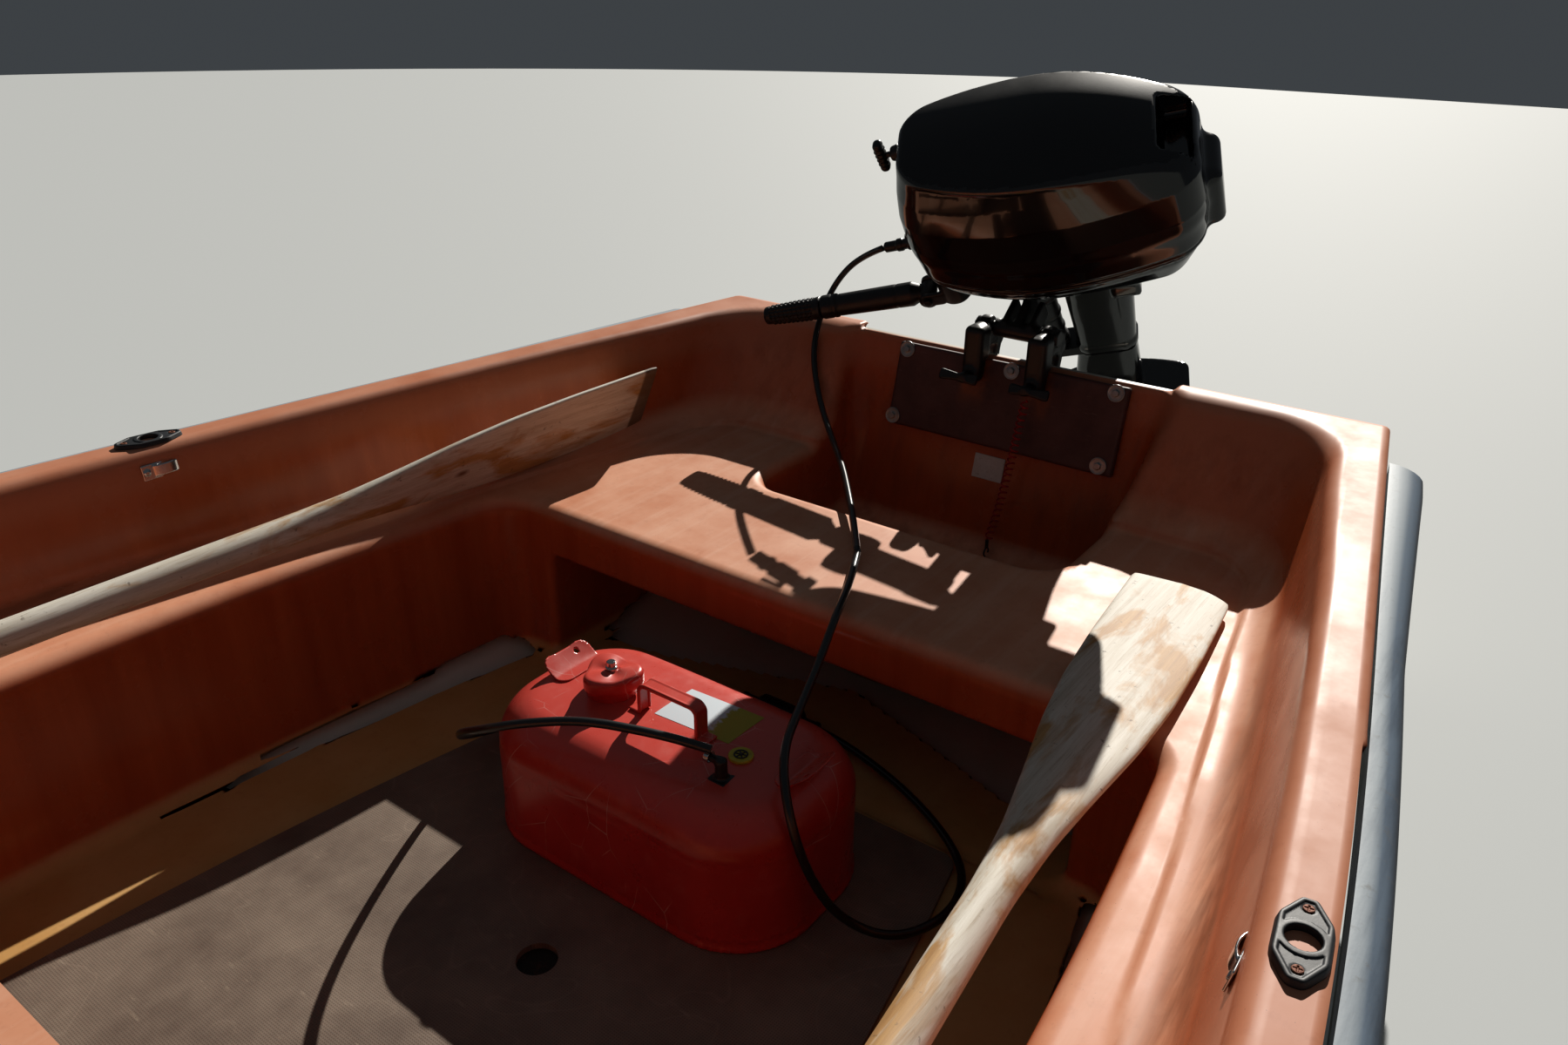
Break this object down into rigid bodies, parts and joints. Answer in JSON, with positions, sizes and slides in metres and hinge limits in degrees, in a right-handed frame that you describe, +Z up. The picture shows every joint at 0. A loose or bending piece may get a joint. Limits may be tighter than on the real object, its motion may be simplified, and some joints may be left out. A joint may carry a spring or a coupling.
{
  "type": "open rowing boat",
  "caption": "Open moulded rowing boat with oars laid inside, a portable fuel tank and hose, and a tilted tiller-steered outboard motor clamped to the transom.",
  "frame": {"origin": "on the centreline at the waterline, amidships", "axes": "+X to the bow, +Y to port, +Z up"},
  "size_m": [4.7017, 1.8774, 1.083],
  "materials": {
    "hull_gelcoat": "satin",
    "inner_gelcoat": "faded gelcoat",
    "rail_rubber": "scuffed",
    "board_film": "mesh textured film",
    "pad_board": "matte",
    "zinc": "dull zinc",
    "plate_metal": "dull",
    "oar_wood": "worn paint",
    "tank_red": "scratched paint",
    "black_plastic": "satin",
    "yellow_plastic": "satin",
    "motor_black": "gloss",
    "engine_mass": "hidden block",
    "propeller_metal": "painted",
    "grip_rubber": "matte",
    "hose_rubber": "matte",
    "red_cord": "satin"
  },
  "bodies": {
    "boat": {"hull_shell": "hull_gelcoat", "sole_moulding": "inner_gelcoat", "stern_moulding": "inner_gelcoat", "aft_thwart": "inner_gelcoat", "side_bench_port": "inner_gelcoat", "side_bench_starboard": "inner_gelcoat", "bow_seat": "inner_gelcoat", "gunwale_port": "inner_gelcoat", "gunwale_starboard": "inner_gelcoat", "transom_cap": "inner_gelcoat", "fore_deck": "inner_gelcoat", "rub_rail_port": "rail_rubber", "rub_rail_starboard": "rail_rubber", "sole_board": "board_film", "centre_thwart": "inner_gelcoat", "transom_pad": "pad_board", "pad_bolts": "zinc", "blank_plate": "plate_metal", "rowlock_socket_port": "zinc", "rowlock_socket_starboard": "zinc", "strap_bracket_port": "zinc", "strap_bracket_starboard": "zinc", "oar_port": "oar_wood", "oar_starboard": "oar_wood", "tank_body": "tank_red", "tank_cap": "tank_red", "tank_handle": "tank_red", "tank_hanger_left": "tank_red", "tank_hanger_right": "tank_red", "tank_gauge": "yellow_plastic", "tank_outlet": "black_plastic", "clamp_bracket": "motor_black", "clamp_screws": "zinc", "fuel_hose_lower": "hose_rubber", "fuel_hose_middle": "hose_rubber", "fuel_hose_upper": "hose_rubber", "primer_bulb": "hose_rubber", "lanyard": "red_cord", "bow_eye": "zinc", "drain_plug": "black_plastic"},
    "swivel": {"swivel_bracket": "motor_black"},
    "motor": {"cowl": "motor_black", "cowl_pan": "motor_black", "powerhead": "engine_mass", "midsection": "motor_black", "gearcase": "motor_black", "recoil_handle": "black_plastic", "fuel_connector": "black_plastic", "steering_arm": "motor_black", "lower_yoke": "motor_black"},
    "tiller": {"tiller_arm": "motor_black", "tiller_grip": "grip_rubber"},
    "propeller": {"propeller": "propeller_metal"}
  },
  "joints": [
    {"name": "motor_tilt", "type": "hinge", "parent": "boat", "child": "swivel", "pos_m": [-2.076, 0.019, 0.464], "axis": [0, 1, 0], "range_deg": [-40, 20], "deforming": ["fuel_hose_upper"]},
    {"name": "steering", "type": "hinge", "parent": "swivel", "child": "motor", "pos_m": [-2.13589, 0.019, 0.5482], "axis": [0.6428, 0, 0.766], "range_deg": [-22, 158], "deforming": ["fuel_hose_upper"]},
    {"name": "tiller_fold", "type": "hinge", "parent": "motor", "child": "tiller", "pos_m": [-2.07079, -0.16644, 0.50923], "axis": [-0.7103, -0.3746, 0.596], "range_deg": [0, 80]},
    {"name": "propeller_spin", "type": "hinge", "parent": "motor", "child": "propeller", "pos_m": [-2.5141, 0.20258, 0.21285], "axis": [0.287, -0.9272, -0.2408], "continuous": true}
  ]
}
